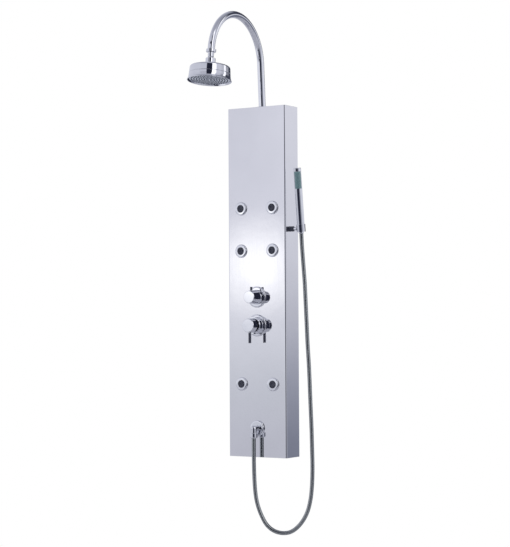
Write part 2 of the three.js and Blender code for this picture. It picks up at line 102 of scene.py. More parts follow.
def add_camera():
    turn = CAMERA_TURN
    rise = CAMERA_RISE
    roll = CAMERA_ROLL
    right = Vector((math.cos(turn), math.sin(turn), 0))
    forward = Vector((-math.sin(turn) * math.cos(rise), math.cos(turn) * math.cos(rise), math.sin(rise)))
    up = right.cross(forward)
    rolled_right = right * math.cos(roll) + up * math.sin(roll)
    rolled_up = up * math.cos(roll) - right * math.sin(roll)
    data = bpy.data.cameras.new("camera")
    data.lens = CAMERA_LENS
    data.sensor_width = 36
    data.clip_end = 50
    camera = bpy.data.objects.new("camera", data)
    x, y, z = CAMERA_PLACE
    camera.matrix_world = Matrix((
        (rolled_right.x, rolled_up.x, -forward.x, x),
        (rolled_right.y, rolled_up.y, -forward.y, y),
        (rolled_right.z, rolled_up.z, -forward.z, z),
        (0, 0, 0, 1),
    ))
    bpy.context.scene.collection.objects.link(camera)
    bpy.context.scene.camera = camera


# ---------- mesh helpers ----------
WELD = 0.0005
SLIGHT_BEND = math.radians(165)
SHARP_ANGLE = math.radians(40)
CORNER_STEPS = 4


def at_height(height):
    return BOTTOM + height


def place(x, y, z, turn=None):
    """A placement in millimetres, turned by a 4x4 rotation."""
    move = Matrix.Translation((x, y, z))
    return move @ turn if turn else move


def front_frame(x, height):
    """Local +Z points out of the panel's front, local +Y up."""
    return place(x, FRONT, at_height(height), Matrix.Rotation(math.radians(90), 4, "X"))


def holder_frame():
    """Local +Z points out of the panel's right side, where the holder stands."""
    return place(HALF_WIDTH, FRONT + HOLDER_SETBACK, at_height(HOLDER_HEIGHT),
                 Matrix.Rotation(math.radians(90), 4, "Y"))


def softened(profile, size, closed):
    """The profile with each corner cut back into a small curve, and each slight bend held in place."""
    points = [Vector((r, 0, z)) for r, z in profile]
    count = len(points)
    result = []
    for i, here in enumerate(points):
        if not closed and i in (0, count - 1):
            result.append(here)
            continue
        before = points[i - 1] - here
        after = points[(i + 1) % count] - here
        reach = min(size, 0.4 * before.length, 0.4 * after.length)
        start = here + before.normalized() * reach
        end = here + after.normalized() * reach
        if before.angle(after) > SLIGHT_BEND:
            result += [start, here, end]
            continue
        for step in range(CORNER_STEPS + 1):
            t = step / CORNER_STEPS
            result.append(start * (1 - t) ** 2 + here * 2 * t * (1 - t) + end * t ** 2)
    return [(p.x, p.z) for p in result]


def finish_mesh(name, bm, placement, body, nodes, material):
    """Turns a bmesh in millimetres into a smooth shaded piece that rides on a body."""
    bmesh.ops.remove_doubles(bm, verts=bm.verts, dist=WELD)
    bmesh.ops.recalc_face_normals(bm, faces=bm.faces)
    bm.transform(Matrix.Scale(MM, 4) @ placement)
    mesh = bpy.data.meshes.new(name)
    bm.to_mesh(mesh)
    bm.free()
    piece = bpy.data.objects.new(name, mesh)
    bpy.context.scene.collection.objects.link(piece)
    mesh.materials.append(material)
    smooth(piece)
    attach(piece, body)
    if nodes:
        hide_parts(*nodes)
    return piece


def smooth(piece):
    """Smooth shading that keeps large flat faces flat."""
    mesh = piece.data
    for polygon in mesh.polygons:
        polygon.use_smooth = True
    mesh.set_sharp_from_angle(angle=SHARP_ANGLE)
    weights = piece.modifiers.new("flat faces lead", "WEIGHTED_NORMAL")
    weights.keep_sharp = True
    weights.weight = 80


def revolve(bm, profile, sides=72, closed=None, size=0.4, start=0.0, sweep=360.0):
    """Adds a solid of revolution about local +Z. profile lists (radius, z)."""
    if closed is None:
        closed = not (profile[0][0] == 0 and profile[-1][0] == 0)
    outline = softened(profile, size, closed)
    whole = sweep >= 360
    columns = sides if whole else sides + 1
    rings = []
    for r, z in outline:
        if r < 1e-6:
            rings.append([bm.verts.new((0, 0, z))] * columns)
            continue
        ring = []
        for i in range(columns):
            angle = math.radians(start + sweep * i / sides)
            ring.append(bm.verts.new((r * math.cos(angle), r * math.sin(angle), z)))
        rings.append(ring)
    pairs = list(zip(rings, rings[1:]))
    if closed:
        pairs.append((rings[-1], rings[0]))
    for lower, upper in pairs:
        for i in range(sides):
            j = (i + 1) % columns
            corners = [lower[i], lower[j], upper[j], upper[i]]
            distinct = list(dict.fromkeys(corners))
            if len(distinct) > 2:
                bm.faces.new(distinct)
    if not whole:
        bm.faces.new([ring[0] for ring in rings])
        bm.faces.new([ring[-1] for ring in rings])


def turned(name, profile, placement, body, nodes, material, sides=72, size=0.4):
    bm = bmesh.new()
    revolve(bm, profile, sides, size=size)
    return finish_mesh(name, bm, placement, body, nodes, material)


def arc(centre_r, centre_z, radius, first, last, steps=16):
    points = []
    for i in range(steps + 1):
        angle = math.radians(first + (last - first) * i / steps)
        points.append((centre_r + radius * math.cos(angle), centre_z + radius * math.sin(angle)))
    return points


def sweep_frames(path):
    """Tangent and two sideways directions at each point, carried along without twisting."""
    frames = []
    side = None
    for i, point in enumerate(path):
        tangent = (path[min(i + 1, len(path) - 1)] - path[max(i - 1, 0)]).normalized()
        if side is None:
            side = tangent.orthogonal().normalized()
        side = (side - tangent * side.dot(tangent)).normalized()
        frames.append((point, side, tangent.cross(side)))
    return frames


def skin(bm, rings, sides):
    """Joins each ring of points to the next, and closes both ends."""
    for lower, upper in zip(rings, rings[1:]):
        for i in range(sides):
            j = (i + 1) % sides
            bm.faces.new((lower[i], lower[j], upper[j], upper[i]))
    bm.faces.new(rings[0])
    bm.faces.new(rings[-1])


def sweep(bm, path, radius, sides):
    """Adds a round bar along a path, closed at both ends."""
    rings = []
    for point, side, other in sweep_frames(path):
        ring = []
        for i in range(sides):
            angle = 2 * math.pi * i / sides
            offset = side * (radius * math.cos(angle)) + other * (radius * math.sin(angle))
            ring.append(bm.verts.new(point + offset))
        rings.append(ring)
    skin(bm, rings, sides)


def box_mesh(name, low, high):
    """A plain block, only ever used to cut with."""
    bm = bmesh.new()
    bmesh.ops.create_cube(bm, size=1)
    middle = [(a + b) / 2 for a, b in zip(low, high)]
    spans = [b - a for a, b in zip(low, high)]
    for vertex in bm.verts:
        vertex.co = Vector([m + v * s for m, v, s in zip(middle, vertex.co, spans)])
    return object_from(name, bm)


def object_from(name, bm):
    bmesh.ops.remove_doubles(bm, verts=bm.verts, dist=WELD)
    bmesh.ops.recalc_face_normals(bm, faces=bm.faces)
    mesh = bpy.data.meshes.new(name)
    bm.to_mesh(mesh)
    bm.free()
    made = bpy.data.objects.new(name, mesh)
    bpy.context.scene.collection.objects.link(made)
    return made


def carve(base, cutters, operation="DIFFERENCE"):
    """The base object with the cutters taken away (or added), as a bmesh. All of them are used up."""
    for cutter in cutters:
        change = base.modifiers.new("carve", "BOOLEAN")
        change.operation = operation
        change.solver = "EXACT"
        change.object = cutter
    bpy.context.view_layer.update()
    evaluated = base.evaluated_get(bpy.context.evaluated_depsgraph_get())
    bm = bmesh.new()
    bm.from_mesh(evaluated.to_mesh())
    evaluated.to_mesh_clear()
    for spent in [base, *cutters]:
        mesh = spent.data
        bpy.data.objects.remove(spent)
        bpy.data.meshes.remove(mesh)
    return bm


# ---------- materials ----------
class Recipe:
    """A small builder for one procedural material."""

    def __init__(self, name, metallic=1.0):
        self.material = bpy.data.materials.new(name)
        self.material.use_nodes = True
        self.nodes = self.material.node_tree.nodes
        self.links = self.material.node_tree.links
        self.shader = self.nodes["Principled BSDF"]
        self.shader.inputs["Metallic"].default_value = metallic
        self.place = self.nodes.new("ShaderNodeTexCoord").outputs["Object"]

    def stretched(self, scale):
        """Object coordinates stretched along the axes."""
        mapping = self.nodes.new("ShaderNodeMapping")
        mapping.inputs["Scale"].default_value = scale
        self.links.new(self.place, mapping.inputs["Vector"])
        return mapping.outputs["Vector"]

    def noise(self, scale, detail=3.0, roughness=0.5, vector=None):
        node = self.nodes.new("ShaderNodeTexNoise")
        node.inputs["Scale"].default_value = scale
        node.inputs["Detail"].default_value = detail
        node.inputs["Roughness"].default_value = roughness
        self.links.new(vector or self.place, node.inputs["Vector"])
        return node.outputs["Fac"]

    def specks(self, scale, size):
        """1 on scattered round specks, 0 between them."""
        node = self.nodes.new("ShaderNodeTexVoronoi")
        node.inputs["Scale"].default_value = scale
        self.links.new(self.place, node.inputs["Vector"])
        return self.spread(node.outputs["Distance"], 0, size, 1, 0)

    def spread(self, value, low, high, first, last):
        node = self.nodes.new("ShaderNodeMapRange")
        node.inputs["From Min"].default_value = low
        node.inputs["From Max"].default_value = high
        node.inputs["To Min"].default_value = first
        node.inputs["To Max"].default_value = last
        self.links.new(value, node.inputs["Value"])
        return node.outputs["Result"]

    def colours(self, value, stops):
        ramp = self.nodes.new("ShaderNodeValToRGB")
        elements = ramp.color_ramp.elements
        while len(elements) < len(stops):
            elements.new(0.5)
        for element, (position, colour) in zip(elements, stops):
            element.position = position
            element.color = (*colour, 1)
        self.links.new(value, ramp.inputs["Fac"])
        self.links.new(ramp.outputs["Color"], self.shader.inputs["Base Color"])

    def roughness(self, value, low, high):
        self.links.new(self.spread(value, 0.3, 0.7, low, high), self.shader.inputs["Roughness"])

    def bump(self, value, strength, distance):
        node = self.nodes.new("ShaderNodeBump")
        node.inputs["Strength"].default_value = strength
        node.inputs["Distance"].default_value = distance
        previous = self.shader.inputs["Normal"].links
        if previous:
            self.links.new(previous[0].from_socket, node.inputs["Normal"])
        self.links.new(value, node.inputs["Height"])
        self.links.new(node.outputs["Normal"], self.shader.inputs["Normal"])


def polished_steel():
    """Mirror-polished sheet with a faint upright grain and a slow waviness."""
    made = Recipe("panel_steel")
    grain = made.noise(1, 4, 0.6, made.stretched((900, 900, 12)))
    cloud = made.noise(9, 3)
    made.colours(cloud, [(0.3, (0.81, 0.81, 0.84)), (0.7, (0.84, 0.84, 0.87))])
    made.roughness(grain, 0.035, 0.075)
    made.bump(cloud, 0.06, 0.002)
    made.bump(grain, 0.012, 0.0003)
    return made.material


def chrome():
    """Bright plating with the odd dried water mark."""
    made = Recipe("chrome")
    cloud = made.noise(60, 4)
    fine = made.noise(900, 3)
    made.colours(cloud, [(0.3, (0.83, 0.84, 0.88)), (0.7, (0.88, 0.89, 0.92))])
    made.roughness(cloud, 0.03, 0.06)
    made.bump(fine, 0.006, 0.0002)
    made.bump(made.specks(260, 0.12), 0.006, 0.0002)
    return made.material


def galvanised():
    """Zinc-plated bracket steel with its spangle."""
    made = Recipe("zinc_steel")
    spangle = made.nodes.new("ShaderNodeTexVoronoi")
    spangle.inputs["Scale"].default_value = 140
    made.links.new(made.place, spangle.inputs["Vector"])
    value = made.nodes.new("ShaderNodeSeparateColor")
    made.links.new(spangle.outputs["Color"], value.inputs["Color"])
    made.colours(value.outputs["Red"], [(0.0, (0.46, 0.48, 0.50)), (1.0, (0.62, 0.64, 0.66))])
    made.roughness(made.noise(220, 4), 0.32, 0.5)
    made.bump(made.noise(700, 4), 0.08, 0.0004)
    return made.material


def cast_brass():
    made = Recipe("brass")
    cloud = made.noise(70, 5, 0.6)
    made.colours(cloud, [(0.3, (0.52, 0.36, 0.13)), (0.55, (0.68, 0.48, 0.20)), (0.75, (0.74, 0.55, 0.27))])
    made.roughness(cloud, 0.28, 0.48)
    made.bump(made.noise(900, 5, 0.7), 0.16, 0.0005)
    return made.material


def drawn_copper():
    made = Recipe("copper")
    streak = made.noise(1, 4, 0.6, made.stretched((300, 300, 14)))
    made.colours(streak, [(0.3, (0.50, 0.22, 0.12)), (0.5, (0.72, 0.36, 0.22)), (0.72, (0.80, 0.45, 0.30))])
    made.roughness(streak, 0.18, 0.4)
    made.bump(streak, 0.03, 0.0003)
    return made.material


def hose_steel():
    """The wound strip of the hose: bright on its crowns, dull in its grooves."""
    made = Recipe("hose_steel")
    cloud = made.noise(120, 4)
    made.colours(cloud, [(0.3, (0.33, 0.35, 0.35)), (0.7, (0.42, 0.44, 0.44))])
    made.roughness(cloud, 0.12, 0.2)
    made.bump(made.noise(1500, 3), 0.02, 0.0002)
    return made.material


def nozzle_rubber():
    made = Recipe("nozzle_dark", 0.0)
    cloud = made.noise(300, 4)
    made.colours(cloud, [(0.3, (0.060, 0.064, 0.092)), (0.7, (0.090, 0.095, 0.130))])
    made.roughness(cloud, 0.24, 0.36)
    made.bump(made.noise(2200, 4), 0.1, 0.0002)
    return made.material


def seat_plastic():
    made = Recipe("seat_plastic", 0.0)
    cloud = made.noise(160, 4)
    made.colours(cloud, [(0.3, (0.74, 0.72, 0.66)), (0.7, (0.84, 0.82, 0.77))])
    made.roughness(cloud, 0.4, 0.55)
    made.bump(made.noise(1800, 4), 0.1, 0.0002)
    return made.material


def spray_metal():
    """Satin plate under the rain head."""
    made = Recipe("spray_face")
    cloud = made.noise(40, 4)
    made.colours(cloud, [(0.3, (0.60, 0.65, 0.73)), (0.7, (0.70, 0.75, 0.82))])
    made.roughness(cloud, 0.06, 0.14)
    made.bump(made.noise(1200, 3), 0.05, 0.0002)
    return made.material


def window_plastic():
    """Clear-coated teal plastic of the hand shower's spray strip."""
    made = Recipe("window_teal", 0.0)
    cloud = made.noise(55, 4)
    made.colours(cloud, [(0.3, (0.24, 0.41, 0.41)), (0.7, (0.31, 0.50, 0.49))])
    made.roughness(cloud, 0.12, 0.22)
    made.shader.inputs["Coat Weight"].default_value = 0.6
    made.shader.inputs["Coat Roughness"].default_value = 0.04
    made.bump(made.noise(1600, 3), 0.03, 0.0002)
    return made.material


def floor_paint():
    made = Recipe("floor", 0.0)
    cloud = made.noise(1.5, 4)
    made.colours(cloud, [(0.3, (0.92, 0.92, 0.92)), (0.7, (0.95, 0.95, 0.95))])
    made.roughness(cloud, 0.6, 0.7)
    return made.material


STEEL = polished_steel()
CHROME = chrome()
ZINC = galvanised()
BRASS = cast_brass()
COPPER = drawn_copper()
HOSE = hose_steel()
NOZZLE = nozzle_rubber()
SEAT = seat_plastic()
SPRAY = spray_metal()
WINDOW = window_plastic()

add_camera()


# ---------- hose ----------
# Points along the middle of the hose: x, y, and height above the panel's lower edge.
HOSE_LOOP = [
    (0, -111, 65.7), (0, -111, 40), (0, -111, 10), (0.2, -111, -20), (0.8, -110.8, -50), (1.8, -110.4, -80),
    (3.8, -109.8, -110), (7.8, -108.7, -140), (14.5, -106.5, -168), (25, -103, -196), (38.5, -98.5, -222),
    (52, -94, -237), (65, -89.3, -246), (78, -84.7, -251), (91, -80, -253.2), (104, -75.3, -252.8),
    (117, -70.6, -249.8), (130, -66, -242.5), (143, -61.2, -231), (156, -56.6, -215), (167, -52.6, -196),
    (176, -49.5, -174), (184.3, -46.3, -137), (188.7, -44.7, -96), (190.6, -44, -56), (191, -43.8, -15),
    (190.3, -44, 25), (188.6, -44.6, 106), (185.8, -45.6, 187), (181.5, -46.6, 309), (176.8, -47.2, 390),
    (173, -47, 471), (169, -46.6, 552), (167, -46.5, 593),
]
HOSE_TOP = [
    (167, -46.5, 593.3), (164, -46.9, 634), (161.3, -48.8, 680), (159.7, -50.9, 716), (159.1, -52.6, 742),
    (159, -54.1, 761),
]
ROUTE_STEPS = 24
ROUTE_SPACING = 1.0
STRIP_PITCH = 2.8
STRIP_RADII = (6.82, 6.97, 7.0, 6.97)   # across one turn of the wound strip, from its groove


def smooth_route(points, spacing):
    """A centripetal Catmull-Rom curve through the points, resampled at an even spacing."""
    given = [Vector((x, y, at_height(h))) for x, y, h in points]
    ends = [given[0] * 2 - given[1], *given, given[-1] * 2 - given[-2]]
    dense = []
    for i in range(1, len(ends) - 2):
        p0, p1, p2, p3 = ends[i - 1:i + 3]
        t0 = 0
        t1 = t0 + (p1 - p0).length ** 0.5
        t2 = t1 + (p2 - p1).length ** 0.5
        t3 = t2 + (p3 - p2).length ** 0.5
        for step in range(ROUTE_STEPS):
            t = t1 + (t2 - t1) * step / ROUTE_STEPS
            a1 = p0 * ((t1 - t) / (t1 - t0)) + p1 * ((t - t0) / (t1 - t0))
            a2 = p1 * ((t2 - t) / (t2 - t1)) + p2 * ((t - t1) / (t2 - t1))
            a3 = p2 * ((t3 - t) / (t3 - t2)) + p3 * ((t - t2) / (t3 - t2))
            b1 = a1 * ((t2 - t) / (t2 - t0)) + a2 * ((t - t0) / (t2 - t0))
            b2 = a2 * ((t3 - t) / (t3 - t1)) + a3 * ((t - t1) / (t3 - t1))
            dense.append(b1 * ((t2 - t) / (t2 - t1)) + b2 * ((t - t1) / (t2 - t1)))
    dense.append(given[-1])
    total = sum((b - a).length for a, b in zip(dense, dense[1:]))
    count = max(2, round(total / spacing))
    even = [dense[0]]
    gone = 0.0
    target = total / count
    for a, b in zip(dense, dense[1:]):
        step = (b - a).length
        while gone + step >= target and len(even) < count:
            even.append(a.lerp(b, (target - gone) / step))
            target += total / count
        gone += step
    even.append(dense[-1])
    return even, total


def wound_hose(name, route, node, sides=20):
    """A hose of wound strip: one grid of points laid round the route on a helix."""
    path, total = smooth_route(route, ROUTE_SPACING)
    frames = sweep_frames(path)
    step = STRIP_PITCH / len(STRIP_RADII)
    turns = len(STRIP_RADII)
    rows = int(total / step) + 1
    bm = bmesh.new()

    def point_at(along, angle, radius):
        along = min(max(along, 0), total)
        place_on = along / total * (len(path) - 1)
        i = min(int(place_on), len(path) - 2)
        mix = place_on - i
        centre, side, other = [a.lerp(b, mix) for a, b in zip(frames[i], frames[i + 1])]
        return centre + side * (radius * math.cos(angle)) + other * (radius * math.sin(angle))

    grid = []
    for row in range(-turns, rows + 1):
        radius = STRIP_RADII[row % turns]
        line = []
        for i in range(sides):
            along = (row + turns * i / sides) * step
            line.append(bm.verts.new(point_at(along, 2 * math.pi * i / sides, radius)))
        grid.append(line)
    for row in range(len(grid) - 1):
        for i in range(sides):
            if i < sides - 1:
                corners = (grid[row][i], grid[row][i + 1], grid[row + 1][i + 1], grid[row + 1][i])
            elif row + 1 + turns < len(grid):
                corners = (grid[row][i], grid[row + turns][0], grid[row + 1 + turns][0], grid[row + 1][i])
            else:
                continue
            bm.faces.new(corners)
    trim_ends(bm)
    mesh = bpy.data.meshes.new(name)
    bm.transform(Matrix.Scale(MM, 4))
    bm.to_mesh(mesh)
    bm.free()
    hose = bpy.data.objects.new(name, mesh)
    bpy.context.scene.collection.objects.link(hose)
    mesh.materials.append(HOSE)
    for polygon in mesh.polygons:
        polygon.use_smooth = True
    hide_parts(node)
    return hose, [p * MM for p in path], total * MM


def trim_ends(bm):
    """Joins the points that were held at the hose's ends, and closes both ends."""
    bmesh.ops.remove_doubles(bm, verts=bm.verts, dist=0.02)
    bmesh.ops.dissolve_degenerate(bm, edges=bm.edges, dist=0.01)
    loose = [v for v in bm.verts if not v.link_faces]
    bmesh.ops.delete(bm, geom=loose, context="VERTS")
    open_edges = [e for e in bm.edges if len(e.link_faces) == 1]
    bmesh.ops.holes_fill(bm, edges=open_edges, sides=0)
    bmesh.ops.recalc_face_normals(bm, faces=bm.faces)


def add_hoses():
    """From 200 mm above the panel's lower edge, the loop follows the holder more and more."""
    loop, loop_path, loop_length = wound_hose("hose_loop_wound", HOSE_LOOP, "hose_loop")
    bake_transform(loop)
    top, top_path, top_length = wound_hose("hose_top_wound", HOSE_TOP, "hose_top_end")
    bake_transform(top)


add_hoses()


# ---------- panel casing ----------
def rounded_half(inset, steps=12):
    """Half of the casing's section, from the front's middle round one corner to the back."""
    half = HALF_WIDTH - inset
    front = FRONT + inset
    radius = CORNER_RADIUS - inset
    outline = []
    for i in range(steps + 1):
        angle = math.radians(-90 + 90 * i / steps)
        outline.append((half - radius + radius * math.cos(angle), front + radius + radius * math.sin(angle)))
    return outline


def prism(name, outline, low, high):
    bm = bmesh.new()
    bottom = [bm.verts.new((x, y, low)) for x, y in outline]
    top = [bm.verts.new((x, y, high)) for x, y in outline]
    bm.faces.new(bottom)
    bm.faces.new(top)
    for i in range(len(outline)):
        j = (i + 1) % len(outline)
        bm.faces.new((bottom[i], bottom[j], top[j], top[i]))
    return object_from(name, bm)


def mirrored(half):
    return [(-x, y) for x, y in reversed(half)] + half


def hole(where, radius):
    """A short round bar to cut with, along the placement's own +Z."""
    bm = bmesh.new()
    revolve(bm, [(0, -4), (radius, -4), (radius, 4), (0, 4)], 48, size=0)
    bm.transform(where)
    return object_from("hole", bm)


def add_casing():
    low, high = at_height(0), at_height(PANEL_HEIGHT)
    outer = mirrored(rounded_half(0) + [(HALF_WIDTH, -0.3)])
    inner = mirrored(rounded_half(SHEET) + [(HALF_WIDTH - SHEET, -0.3 - SHEET)])
    casing = prism("casing", outer, low, high)
    cutters = [prism("room", inner, low + SHEET, high - SHEET)]
    cutters.append(box_mesh("back opening", (-BACK_OPENING_HALF, -3, low + SHEET),
                            (BACK_OPENING_HALF, 3, high - SHEET)))
    for height in JET_HEIGHTS.values():
        cutters.append(hole(front_frame(-JET_X, height), JET_HOLE))
        cutters.append(hole(front_frame(JET_X, height), JET_HOLE))
    cutters.append(hole(front_frame(0, DIVERTER_HEIGHT), DIVERTER_HOLE))
    cutters.append(hole(front_frame(0, MIXER_HEIGHT), MIXER_HOLE))
    cutters.append(hole(front_frame(0, OUTLET_HEIGHT), OUTLET_HOLE))
    cutters.append(hole(holder_frame(), HOLDER_HOLE))
    cutters.append(hole(place(0, FRONT + ARM_TOP_SETBACK, high), ARM_ROSE_HOLE))
    bm = carve(casing, cutters)
    piece = finish_mesh("casing_folded_sheet", bm, Matrix.Identity(4), "panel", ["panel_casing"], STEEL)
    bevel = piece.modifiers.new("eased edges", "BEVEL")
    bevel.width = 0.0004
    bevel.segments = 2
    bevel.limit_method = "ANGLE"
    bevel.angle_limit = math.radians(60)
    piece.modifiers.move(1, 0)


add_casing()


# ---------- gooseneck arm ----------
def bend_point(angle):
    height = at_height(ARM_BEND_HEIGHT) + ARM_BEND * math.sin(angle)
    return Vector((0, ARM_BEND_Y + ARM_BEND * math.cos(angle), height))


def add_arm():
    first = math.radians(ARM_LEAN)
    last = math.pi - math.radians(ARM_END_LEAN)
    bend_start = bend_point(first)
    rise = (bend_start.z - at_height(ARM_START_HEIGHT)) / math.cos(first)
    down = Vector((0, math.sin(first), -math.cos(first)))
    path = [bend_start + down * rise * (1 - i / 12) for i in range(12)]
    path += [bend_point(first + (last - first) * i / 96) for i in range(97)]
    bm = bmesh.new()
    sweep(bm, path, ARM_RADIUS, 48)
    finish_mesh("arm_tube", bm, Matrix.Identity(4), "panel", ["gooseneck_arm"], CHROME)
    top = place(0, FRONT + ARM_TOP_SETBACK, at_height(PANEL_HEIGHT))
    turned("arm_rose", [(13.4, 0.3), (22, 0.3), (22, 2), (19, 4.4), (13.4, 5)], top, "panel", ["arm_flange"],
           CHROME)
    return path[-1]


arm_end = add_arm()


# ---------- rain head ----------
HEAD_NIB_RINGS = 7
HEAD_NIB_SPACING = 8.6
HEAD = place(*arm_end, Matrix.Rotation(math.radians(-ARM_END_LEAN), 4, "X"))


def head_piece(name, profile, body, node, material=CHROME, sides=96, size=0.5):
    return turned(name, profile, HEAD, body, [node], material, sides, size)


def nib(bm, x, y, z, base, tip, height, sides=10):
    """A small rubber nozzle pointing down local -Z, with a pinhole at its end."""
    rings = []
    outline = [(base, 0), (base * 0.92, height * 0.55), (tip, height), (tip * 0.45, height),
               (tip * 0.4, height * 0.6)]
    for radius, drop in outline:
        ring = []
        for i in range(sides):
            angle = 2 * math.pi * i / sides
            ring.append(bm.verts.new((x + radius * math.cos(angle), y + radius * math.sin(angle), z - drop)))
        rings.append(ring)
    skin(bm, rings, sides)


def add_head():
    head_piece("arm_collar", [(12.05, 2), (16.5, 2), (16.5, -7), (6, -7), (6, -0.3), (12.05, -0.3)],
               "panel", "arm_end_collar")
    head_piece("neck_ball", [(4, -7.3), (10, -7.3), (10, -23), (7, -24.5), *arc(0, -36, 12, 54, -70),
                             (4, -47.2)], "panel", "ball_stem")
    head_piece("head_nut", [(10.5, -28), (15.5, -28), (16.5, -29), (16.5, -43), (15.8, -44),
                            *arc(0, -36, 14.8, -32, 26), (10.5, -29.4)], "rain_head", "swivel_nut")
    head_piece("head_upper", [(9.3, -44.3), (13, -44.3), (13, -51), (58, -54.5), (64.5, -56.5), (67.2, -60),
                              (68.8, -80.7), (66.8, -80.7), (65.2, -60.5), (57, -56.7), (5, -54), (5, -49.5),
                              (9.3, -49.5)], "rain_head", "head_shell", sides=128, size=1.4)
    head_piece("head_lower", [(68.9, -81), (69.9, -92), (71.4, -98.5), (74.2, -103.4), (73.6, -104.6),
                              (72, -104.2), (69.6, -99.5), (68.3, -93), (66.9, -81)],
               "rain_head", "head_lip_ring", sides=128, size=1.2)
    head_piece("head_spray_plate", [(0, -97), (HEAD_PLATE_RADIUS, -97), (HEAD_PLATE_RADIUS, -100),
                                    (0, HEAD_PLATE_MIDDLE)],
               "rain_head", "spray_plate", SPRAY, 128)
    bm = bmesh.new()
    for ring in range(1, HEAD_NIB_RINGS + 1):
        radius = ring * HEAD_NIB_SPACING
        count = 6 * ring
        z = HEAD_PLATE_MIDDLE + HEAD_PLATE_RISE * radius / HEAD_PLATE_RADIUS + 0.3
        for i in range(count):
            angle = 2 * math.pi * (i + 0.5 * (ring % 2)) / count
            nib(bm, radius * math.cos(angle), radius * math.sin(angle), z, 1.5, 0.9, 2.2)
    finish_mesh("head_nibs", bm, HEAD, "rain_head", [], NOZZLE)


add_head()


# ---------- body jets ----------
def add_jet(row, side, sign):
    where = front_frame(sign * JET_X, JET_HEIGHTS[row])
    turned(f"jet_rose_{row}_{side}", [(12.4, -18), (14.6, -18), (14.6, 0.3), (23, 0.3), (23, 2.8), (22, 4.1),
                                      (20.5, 4.6), (18.8, 4.9), (13.4, 5), (12.4, 3.6)],
           where, "panel", [f"jet_flange_{row}_{side}"], CHROME, 96)
    bm = bmesh.new()
    revolve(bm, [(0, 3.4), (3, 3.4), (3.6, 4.6), (6.5, 5.4), (8.2, 4.4), (9.2, 5.4),
                 *arc(0, 0, 12, 26, -25, 10), (3, -5.1), (0, -5.1)], 48, size=0.3)
    finish_mesh(f"jet_ball_{row}_{side}", bm, where, f"jet_{row}_{side}", [f"jet_nozzle_{row}_{side}"],
                NOZZLE)


for jet_row in JET_HEIGHTS:
    add_jet(jet_row, "left", -1)
    add_jet(jet_row, "right", 1)


# ---------- diverter ----------
def add_diverter():
    where = front_frame(0, DIVERTER_HEIGHT)
    turned("diverter_rose", [(14.8, 0.3), (36, 0.3), (36, 2.8), (35, 4), (33.4, 4.6), (31, 4.9), (18, 5),
                             (18, 11), (17, 12), (14.8, 12)],
           where, "panel", ["diverter_escutcheon"], CHROME, 96)
    turned("diverter_grip", [(6.3, 13.5), (20.5, 13.5), (20.5, 7), (25.5, 7), (21, 52.6), (19.8, 54),
                             (0, 54), (0, 32), (6.3, 32)],
           where, "diverter_handle", ["diverter_knob"], CHROME, 96)
    upward = where @ Matrix.Translation((0, 0, 37)) @ Matrix.Rotation(math.radians(-90), 4, "X")
    turned("diverter_peg", [(0, 23.3), (4, 23.3), (4, 34.5), (0, 34.5)],
           upward, "diverter_handle", ["diverter_pin"], NOZZLE, 32)


add_diverter()


# ---------- mixer ----------
def add_mixer():
    where = front_frame(0, MIXER_HEIGHT)
    turned("mixer_rose", [(21.8, 0.3), (37.5, 0.3), (37.5, 3.6), (36.4, 5), (34.8, 5.6), (32.5, 5.9),
                          (21.8, 6)],
           where, "panel", ["mixer_escutcheon"], CHROME, 96)
    turned("mixer_shroud", [(27.5, 6.3), (30.5, 6.3), (30.5, 30), (29.6, 31), (20, 31), (20, 29.5),
                            (27.5, 29.5)],
           where, "panel", ["mixer_sleeve"], CHROME, 96)
    turned("mixer_grip", [(0, 18), (6, 18), (6, 33), (15.5, 33), (15.5, 38), (23, 38), (25, 39.8),
                          (23, 60), (21.8, 61.5), (0, 61.5)],
           where, "mixer_lever", ["mixer_handle"], CHROME, 96)
    downward = where @ Matrix.Translation((0, 0, 48)) @ Matrix.Rotation(math.radians(90), 4, "X")
    turned("mixer_peg", [(0, 25), (4.75, 25), (4.75, 60), (0, 60)],
           downward, "mixer_lever", ["mixer_lever_pin"], NOZZLE, 32)


add_mixer()


# ---------- hose outlet ----------
def add_outlet():
    where = front_frame(0, OUTLET_HEIGHT)
    turned("outlet_rose", [(9.6, 0.3), (27, 0.3), (27, 3.6), (26, 4.9), (24.3, 5.6), (22, 5.9), (9.6, 6)],
           where, "panel", ["outlet_flange"], CHROME)
    tail = bmesh.new()
    revolve(tail, [(0, -36), (9.2, -36), (9.2, OUTLET_REACH), (0, OUTLET_REACH)], 64)
    tail.transform(where)
    ball = bmesh.new()
    revolve(ball, [(0, -10), *arc(0, 0, 10, -88, 88, 40), (0, 10)], 64, size=0)
    ball.transform(where @ Matrix.Translation((0, 0, OUTLET_REACH)))
    drop = bmesh.new()
    revolve(drop, [(0, 0), (10, 0), (10, 15), (0, 15)], 64)
    drop.transform(where @ place(0, 0, OUTLET_REACH, Matrix.Rotation(math.radians(90), 4, "X")))
    joined = carve(object_from("tail", tail), [object_from("ball", ball), object_from("drop", drop)], "UNION")
    finish_mesh("outlet_bend", joined, Matrix.Identity(4), "panel", ["outlet_elbow"], CHROME)
    turned("outlet_nut", [(5, 83.7), (12, 83.7), (13, 82.7), (13, 69), (9.5, 66), (5, 66)],
           place(0, FRONT - OUTLET_REACH, BOTTOM), "panel", ["hose_outlet_nut"], CHROME, 64)


add_outlet()


# ---------- holder and hand shower ----------
STRIP_GAP = 0.3
HANDSET = place(HANDSET_X, FRONT + HOLDER_SETBACK, at_height(HOLDER_HEIGHT),
                Matrix.Rotation(math.radians(HANDSET_LEAN), 4, "X"))


